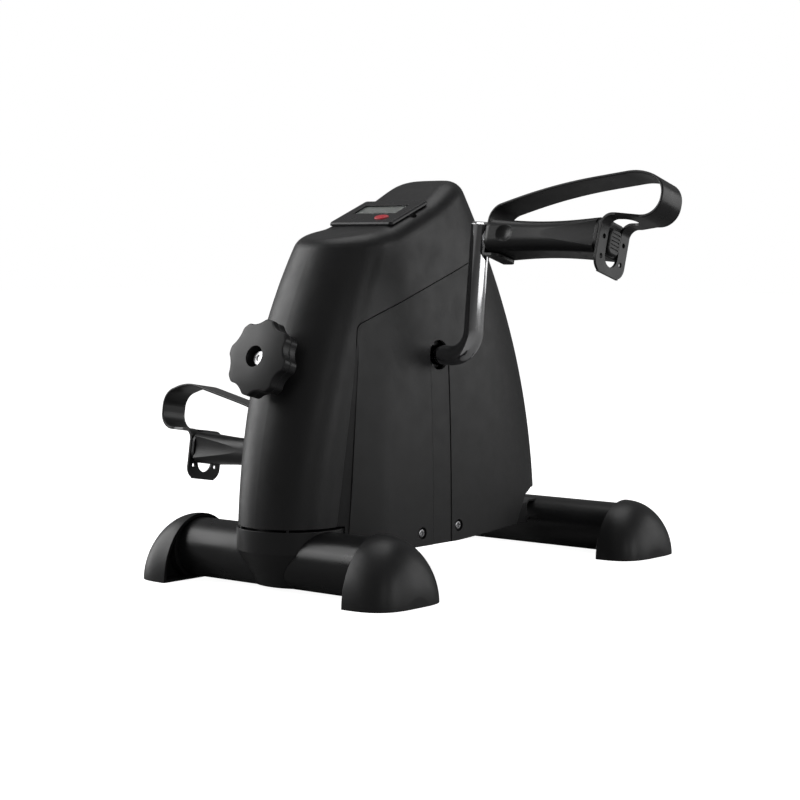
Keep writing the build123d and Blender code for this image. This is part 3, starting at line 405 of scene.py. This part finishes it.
def strap_beads(body, place, heel, loop):
    tail = (TAIL_X, loop[-1][1])
    line = rounded_path([(HEEL_X, HEEL_Z), (HEEL_X, heel), *loop, tail], LOOP_RADII)
    edge = STRAP_WIDTH / 2 - BEAD_INSET
    for label, y in (("front", -edge), ("rear", edge)):
        bead(body.replace("pedal", "strap_bead_") + label, line, y, place, body)


strap_beads("right_pedal", pedal_place(1, RIGHT_Z, RIGHT_LEAN), RIGHT_HEEL, RIGHT_LOOP)
strap_beads("left_pedal", pedal_place(-1, LEFT_Z, LEFT_LEAN), LEFT_HEEL, LEFT_LOOP)


# ---------------------------------------------------------------- studio
def camera_ray(g):
    return g.add("ShaderNodeLightPath").outputs["Is Camera Ray"]


def make_floor():
    """Pale sweep: reads white to the lens, reflects only a little back onto the product."""
    bm = bmesh.new()
    bmesh.ops.create_grid(bm, x_segments=8, y_segments=8, size=9.0)
    me = bpy.data.meshes.new("floor")
    bm.to_mesh(me)
    bm.free()
    obj = bpy.data.objects.new("floor", me)
    scene.collection.objects.link(obj)
    mat, g, bsdf, coord = new_material("floor_white")
    soft = g.noise(coord, 3.0, 2.0, 0.5)
    g.join(g.ramp(soft, [(0.2, (0.90, 0.90, 0.90)), (0.8, (0.93, 0.93, 0.93))]), bsdf.inputs["Base Color"])
    bsdf.inputs["Roughness"].default_value = 0.9
    bsdf.inputs["Specular IOR Level"].default_value = 0.1
    seen = g.add("ShaderNodeMixShader")
    dull = g.add("ShaderNodeBsdfDiffuse")
    dull.inputs["Color"].default_value = (0.30, 0.30, 0.30, 1)
    lift = g.add("ShaderNodeAddShader")
    glow = g.add("ShaderNodeEmission")
    glow.inputs["Strength"].default_value = 0.95
    g.join(bsdf.outputs[0], lift.inputs[0])
    g.join(glow.outputs[0], lift.inputs[1])
    g.join(camera_ray(g), seen.inputs[0])
    g.join(dull.outputs[0], seen.inputs[1])
    g.join(lift.outputs[0], seen.inputs[2])
    g.join(seen.outputs[0], g.nodes["Material Output"].inputs[0])
    me.materials.append(mat)


def make_light(name, place, target, size, radiance, only=()):
    """Softbox. With only, it falls on those nodes alone."""
    data = bpy.data.lights.new(name, "AREA")
    data.shape = "RECTANGLE"
    data.size, data.size_y = size
    data.energy = radiance * math.pi * size[0] * size[1]
    obj = bpy.data.objects.new(name, data)
    obj.location = place
    obj.rotation_euler = (Vector(target) - Vector(place)).to_track_quat("-Z", "Y").to_euler()
    obj.visible_camera = False
    scene.collection.objects.link(obj)
    if only:
        group = bpy.data.collections.new(name + "_on")
        for node in only:
            group.objects.link(nodes[node])
        obj.light_linking.receiver_collection = group


def make_world():
    world = bpy.data.worlds.new("studio")
    world.use_nodes = True
    g = Graph(world.node_tree)
    dim = g.nodes["Background"]
    dim.inputs[0].default_value = (1.0, 1.0, 1.0, 1)
    dim.inputs[1].default_value = 0.14
    white = g.add("ShaderNodeBackground")
    white.inputs[1].default_value = 1.0
    white.inputs[0].default_value = (1, 1, 1, 1)
    mix = g.add("ShaderNodeMixShader")
    g.join(camera_ray(g), mix.inputs[0])
    g.join(dim.outputs[0], mix.inputs[1])
    g.join(white.outputs[0], mix.inputs[2])
    g.join(mix.outputs[0], g.nodes["World Output"].inputs[0])
    scene.world = world
    scene.view_settings.view_transform = "Standard"
    scene.view_settings.look = "None"
    scene.view_settings.exposure = 0.0


make_floor()
make_world()
CENTRE = (0.0, 0.0, 0.16)
make_light("left_box", (-1.6, -0.35, 0.55), CENTRE, (0.9, 1.3), 2.7)
make_light("left_high_box", (-1.05, -0.75, 1.15), CENTRE, (0.7, 0.7), 2.2)
make_light("front_left_box", (-1.15, -1.15, 0.75), CENTRE, (0.55, 0.6), 3.4)
make_light("right_box", (1.75, 0.20, 0.40), CENTRE, (0.55, 1.0), 1.8)
PLATED = ("crank", "tension_screw", "cover_screws")
make_light("chrome_card", (1.45, -0.15, 0.30), CENTRE, (1.5, 1.4), 1.3, only=PLATED)
make_light("right_rear_box", (1.35, 1.55, 0.50), CENTRE, (1.5, 1.3), 1.3)
make_light("right_front_strip", (1.9, -1.1, 0.7), CENTRE, (0.35, 1.2), 1.2)
make_light("top_box", (-0.2, 0.3, 1.9), CENTRE, (1.3, 1.3), 1.6)
